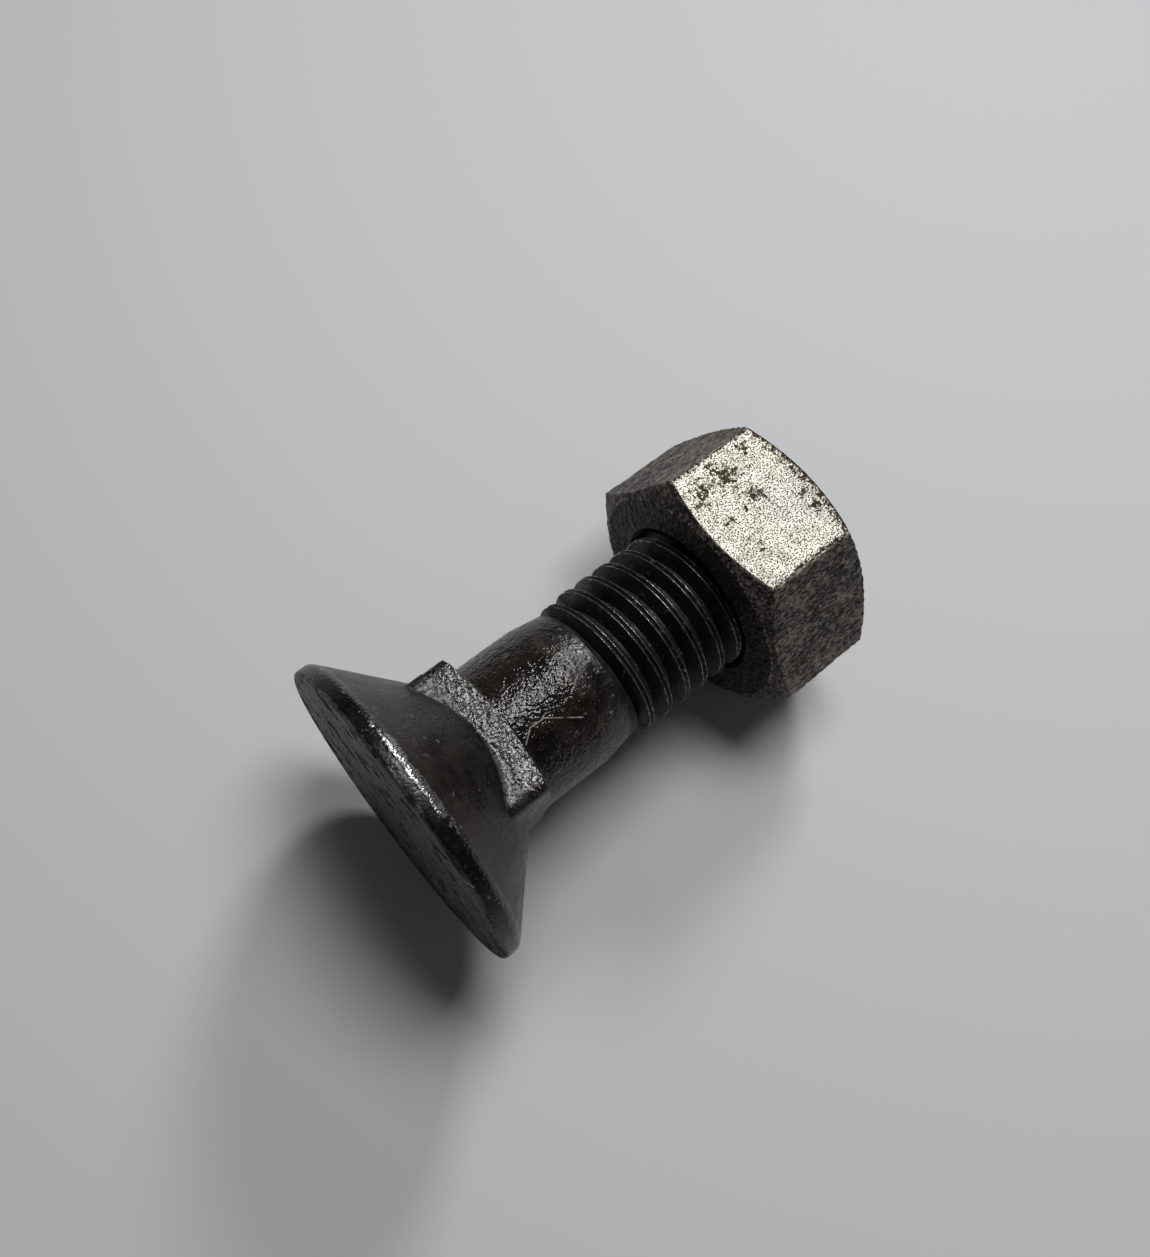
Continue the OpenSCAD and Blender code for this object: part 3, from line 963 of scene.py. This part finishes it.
# Brown-black spots, each with its place across the flat and up the bolt, and its radius, in mm.
spots = [
    (3.3, 32.0, 1.6), (3.5, 31.8, 1.2), (2.85, 33.9, 0.3), (3.9, 34.4, 0.3), (1.2, 32.7, 0.5),
    (0.6, 33.1, 0.55), (0.5, 31.2, 0.35), (2.9, 29.3, 0.5), (2.3, 29.3, 0.5),
    (2.7, 28.6, 0.4), (4.0, 29.1, 0.35),
    (0.3, 29.3, 0.35), (0.4, 29.9, 0.3), (-2.1, 30.3, 0.3), (-2.6, 30.0, 0.25),
    (-2.3, 36.3, 0.45), (-1.0, 35.5, 0.6), (3.8, 36.3, 0.4), (-4.6, 36.0, 0.4),
    (3.5, 29.8, 1.3), (4.2, 31.6, 1.0), (1.0, 32.6, 1.2), (-2.4, 35.6, 1.0), (4.4, 34.6, 0.8),
]
flat_place = add(tree, "ShaderNodeCombineXYZ", {
    "Y": nut_place.outputs["Y"], "Z": nut_place.outputs["Z"],
})
spotted = 0.0
for across, height, reach in spots:
    gap = add(tree, "ShaderNodeVectorMath", {
        0: flat_place, 1: (0, across * mm, height * mm),
    }, operation="DISTANCE")
    near = add(tree, "ShaderNodeMapRange", {
        "Value": gap.outputs["Value"], "From Min": 1.4 * reach * mm, "From Max": 0,
    })
    spotted = add(tree, "ShaderNodeMath", {0: spotted, 1: near}, operation="MAXIMUM")
# The far edge and the two corners are stained too.
rise_part = add(tree, "ShaderNodeAttribute", attribute_name="rise")
far_edge = add(tree, "ShaderNodeMapRange", {
    "Value": rise_part.outputs["Fac"], "From Min": 0.8, "From Max": 1.0, "To Max": 0.85,
})
from_middle = add(tree, "ShaderNodeMath", {0: nut_place.outputs["Y"]}, operation="ABSOLUTE")
corner_edge = add(tree, "ShaderNodeMapRange", {
    "Value": from_middle, "From Min": 4.6 * mm, "From Max": 5.5 * mm,
})
edges = add(tree, "ShaderNodeMath", {0: far_edge, 1: corner_edge}, operation="MAXIMUM")
stained = add(tree, "ShaderNodeMath", {0: spotted, 1: edges}, operation="MAXIMUM")
# All the stains have ragged edges, down to 0.35 mm and finer.
ragged = add(tree, "ShaderNodeTexNoise", {
    "Vector": turned_back, "Scale": 1 / (0.35 * mm), "Detail": 4.0, "Roughness": 0.7,
})
stain_level = add(
    tree, "ShaderNodeMath", {0: stained, 1: 0.29, 2: ragged}, operation="MULTIPLY_ADD"
)
stain = add(tree, "ShaderNodeMapRange", {
    "Value": stain_level, "From Min": 0.66, "From Max": 0.74,
})
speck = add(tree, "ShaderNodeMapRange", {
    "Value": specks, "From Min": 0.51, "From Max": 0.43, "To Max": 1.0,
})
specked = add(tree, "ShaderNodeMix", {
    "Factor": speck, "A": worn_cream, "B": linear("#332f28"),
}, data_type="RGBA")
stained_cream = add(tree, "ShaderNodeMix", {
    "Factor": stain, "A": specked, "B": linear("#2c251d"),
}, data_type="RGBA")
top_flat = add(tree, "ShaderNodeMapRange", {
    "Value": nut_place.outputs["X"],
    "From Min": -nut_half_width + 0.25 * mm, "From Max": -nut_half_width + 0.12 * mm,
})
# A black line runs all round the bright flat.
corner_line = add(tree, "ShaderNodeMapRange", {
    "Value": from_middle, "From Min": 5.45 * mm, "From Max": 5.3 * mm,
})
from_edge = add(tree, "ShaderNodeMath", {
    0: rise_part.outputs["Fac"], 1: 0.5,
}, operation="PINGPONG")
edge_line = add(tree, "ShaderNodeMapRange", {
    "Value": from_edge, "From Min": 0.006, "From Max": 0.014,
})
inside_corners = add(tree, "ShaderNodeMath", {0: top_flat, 1: corner_line}, operation="MULTIPLY")
bright = add(tree, "ShaderNodeMath", {0: inside_corners, 1: edge_line}, operation="MULTIPLY")
colour = add(tree, "ShaderNodeMix", {
    "Factor": bright, "A": dull, "B": stained_cream,
}, data_type="RGBA")
feed(tree, steel.inputs["Base Color"], colour)
# The crust is oxide, so little of it shines as metal does.
metal = add(tree, "ShaderNodeMix", {"Factor": bright, "A": 0.25, "B": 1.0}, data_type="FLOAT")
feed(tree, steel.inputs["Metallic"], metal)
roughness = add(tree, "ShaderNodeMix", {"Factor": bright, "A": 0.5, "B": 0.55}, data_type="FLOAT")
feed(tree, steel.inputs["Roughness"], roughness)
# The relief is worked out in millimetres: crusts on the dull flats, specks on the bright one.
crust_relief = add(tree, "ShaderNodeMath", {0: crusts, 1: 0.25}, operation="MULTIPLY")
speck_relief = add(tree, "ShaderNodeMath", {0: specks, 1: 0.03}, operation="MULTIPLY")
relief = add(tree, "ShaderNodeMix", {
    "Factor": bright, "A": crust_relief, "B": speck_relief,
}, data_type="FLOAT")
bump = add(tree, "ShaderNodeBump", {"Strength": 1.0, "Distance": mm, "Height": relief})
feed(tree, steel.inputs["Normal"], bump)
nut_wear = {
    "Dent Size": 3.0 * mm,
    "Dent Depth": 0.05 * mm,
    "Pit Size": 0.45 * mm,
    "Pit Depth": 0.12 * mm,
    "Stretch": 1.7,
    "Seed": 8.0,
    "Finish": plated_steel,
}
shape(nut, wear_tree, nut_wear)
finish_piece("plated_nut", nut, "nut", "hex_nut")
bpy.data.objects.remove(tapped_sizes["Form"])

# ---- Floor -------------------------------------------------------------------------------------
# A plain sheet of pale card, flat under the bolt and far wider than it. It is matt, so it takes
# soft shadows and has no glare.
floor_half_width = 0.6
pale_card = bpy.data.materials.new("pale_card")
pale_card.use_nodes = True
card = pale_card.node_tree.nodes["Principled BSDF"]
card.inputs["Base Color"].default_value = linear("#c6c7c9")
card.inputs["Roughness"].default_value = 0.9
card.inputs["Specular IOR Level"].default_value = 0.2
floor_mesh = bpy.data.meshes.new("floor")
floor_corners = [
    (x * floor_half_width, y * floor_half_width, 0)
    for x, y in ((-1, -1), (1, -1), (1, 1), (-1, 1))
]
floor_mesh.from_pydata(floor_corners, [], [(0, 1, 2, 3)])
floor_mesh.materials.append(pale_card)
floor = bpy.data.objects.new("floor", floor_mesh)
scene.collection.objects.link(floor)

# ---- Light -------------------------------------------------------------------------------------
# A soft lamp high over the nut, a weaker one further off and lower, and a weak even light from
# all round. Each lamp has its turn and rise in degrees, distance, width, height and power.
middle = (cad_box[0] + cad_box[1]) / 2
for name, turn, rise, distance, width, height, power in (
    ("high_lamp", 17, 69, 0.24, 0.125, 0.08, 0.39),
    ("low_lamp", 31, 36, 0.605, 0.118, 0.118, 1.5),
):
    lamp = bpy.data.lights.new(name, "AREA")
    lamp.shape = "RECTANGLE"
    lamp.size = width
    lamp.size_y = height
    lamp.energy = power
    to_lamp = Vector((
        math.cos(math.radians(rise)) * math.cos(math.radians(turn)),
        math.cos(math.radians(rise)) * math.sin(math.radians(turn)),
        math.sin(math.radians(rise)),
    ))
    light = bpy.data.objects.new(name, lamp)
    light.location = middle + distance * to_lamp
    light.rotation_euler = to_lamp.to_track_quat("Z", "Y").to_euler()
    scene.collection.objects.link(light)
world = bpy.data.worlds.new("room")
scene.world = world
world.use_nodes = True
world.node_tree.nodes["Background"].inputs["Color"].default_value = (1, 1, 1, 1)
world.node_tree.nodes["Background"].inputs["Strength"].default_value = 0.063

# ---- Camera ------------------------------------------------------------------------------------
# It stands 90 mm above the floor and is turned so that the nut end points up and to the right.
# Its place is given from the middle of the head's flat face, in mm.
lens = bpy.data.cameras.new("camera")
lens.lens = 31.96
lens.clip_start = 0.005
lens.clip_end = 5
camera = bpy.data.objects.new("camera", lens)
camera.location = Vector(mounts["head_face"]["pos_m"]) + Vector((-1.47, -17.38, 77.66)) * mm
camera.rotation_euler = [math.radians(a) for a in (20.143, -1.850, -39.597)]
scene.collection.objects.link(camera)
scene.camera = camera
